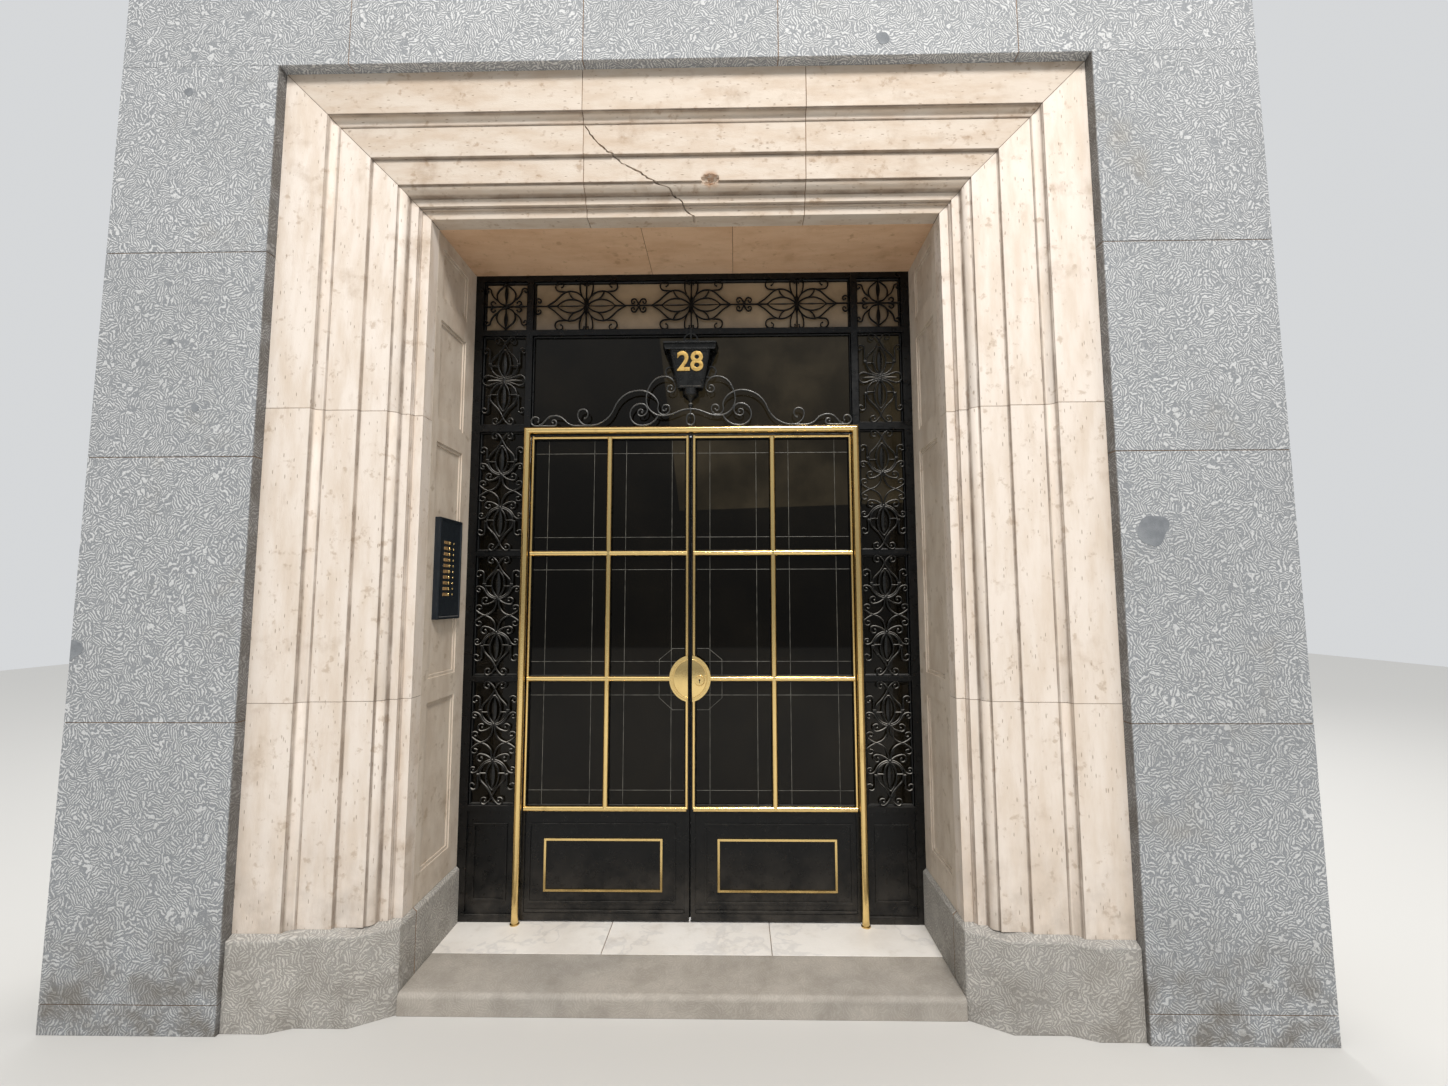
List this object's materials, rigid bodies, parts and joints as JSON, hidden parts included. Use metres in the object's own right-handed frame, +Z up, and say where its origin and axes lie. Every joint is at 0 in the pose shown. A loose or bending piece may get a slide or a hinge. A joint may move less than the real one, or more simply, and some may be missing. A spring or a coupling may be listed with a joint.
{
  "type": "entrance doorway with double doors",
  "caption": "Stone portal with a stepped surround, holding a pair of glazed iron and brass doors that swing inward between wrought-iron side lights under a scrollwork frieze.",
  "frame": {"origin": "centre of the footprint of the whole wall bay, at pavement level", "axes": "+X runs along the wall to the right seen from the street, +Y runs through the wall into the building, +Z is up; the street front faces -Y"},
  "size_m": [4.7, 0.8, 4.413],
  "materials": {
    "granite": "fine tooled grey granite",
    "travertine": "honed veined travertine, weathered",
    "rendered_masonry": "lime render on masonry",
    "marble": "worn grey-white marble",
    "black_iron": "satin black paint",
    "black_enamel": "gloss black enamel",
    "polished_brass": "polished, slightly tarnished",
    "dark_glass": "tinted flat glass"
  },
  "bodies": {
    "portal": {"granite_jamb_left": "granite", "granite_jamb_right": "granite", "granite_head": "granite", "wall_backing": "rendered_masonry", "wall_over_door": "rendered_masonry", "surround_jamb_left": "travertine", "surround_jamb_right": "travertine", "surround_head": "travertine", "plinth_left": "granite", "plinth_right": "granite", "reveal_lining_left": "travertine", "reveal_lining_right": "travertine", "soffit_lining": "travertine", "front_step": "granite", "marble_threshold": "marble", "frame_uprights": "black_iron", "frame_bars": "black_iron", "side_rails": "black_iron", "side_kick_panels": "black_iron", "side_scrolls_left": "black_iron", "side_scrolls_right": "black_iron", "frieze_corners": "black_iron", "frieze_scrolls": "black_iron", "crest_scrolls": "black_iron", "transom_glass": "dark_glass", "side_glass": "dark_glass", "brass_posts": "polished_brass", "brass_head": "polished_brass", "number_lantern": "black_iron", "lantern_hanger": "black_iron", "bell_plate": "black_enamel", "bell_buttons": "polished_brass", "frame_hinges": "black_iron"},
    "leaf_left": {"leaf_frame_left": "black_iron", "leaf_hinges_left": "black_iron", "kick_panel_left": "black_iron", "leaf_glass_left": "dark_glass", "brass_trim_left": "polished_brass", "push_plate_left": "polished_brass"},
    "leaf_right": {"leaf_frame_right": "black_iron", "leaf_hinges_right": "black_iron", "kick_panel_right": "black_iron", "leaf_glass_right": "dark_glass", "brass_trim_right": "polished_brass", "push_plate_right": "polished_brass"}
  },
  "joints": [
    {"name": "left_door_hinge", "type": "hinge", "parent": "portal", "child": "leaf_left", "pos_m": [-0.8015, 0.289, 1.2], "axis": [0, 0, 1], "range_deg": [0, 90]},
    {"name": "right_door_hinge", "type": "hinge", "parent": "portal", "child": "leaf_right", "pos_m": [0.8015, 0.289, 1.2], "axis": [0, 0, -1], "range_deg": [0, 90]}
  ]
}
